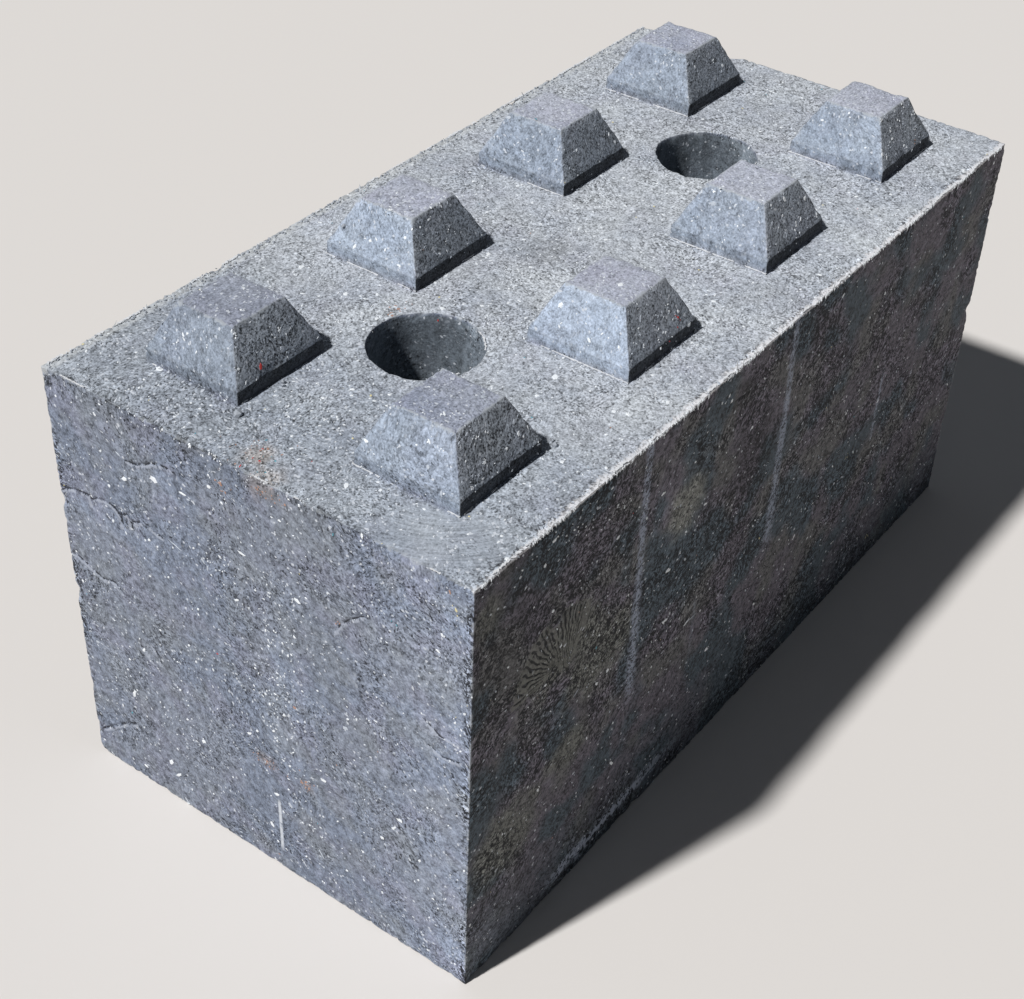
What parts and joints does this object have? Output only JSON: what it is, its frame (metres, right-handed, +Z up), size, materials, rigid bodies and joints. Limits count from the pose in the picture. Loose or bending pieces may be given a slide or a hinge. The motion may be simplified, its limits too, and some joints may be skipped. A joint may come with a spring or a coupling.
{
  "type": "interlocking building block",
  "caption": "Solid oblong building block with tapered square studs on top, matching sockets below and upright through bores, for walls stacked dry.",
  "frame": {"origin": "the middle of the flat underside, at floor level", "axes": "+X along the length, +Y across the width, +Z up through the studs"},
  "size_m": [1.2, 0.6, 0.674],
  "materials": {
    "recycled_pvc": "matte"
  },
  "bodies": {
    "root": {"block": "recycled_pvc"}
  },
  "joints": []
}
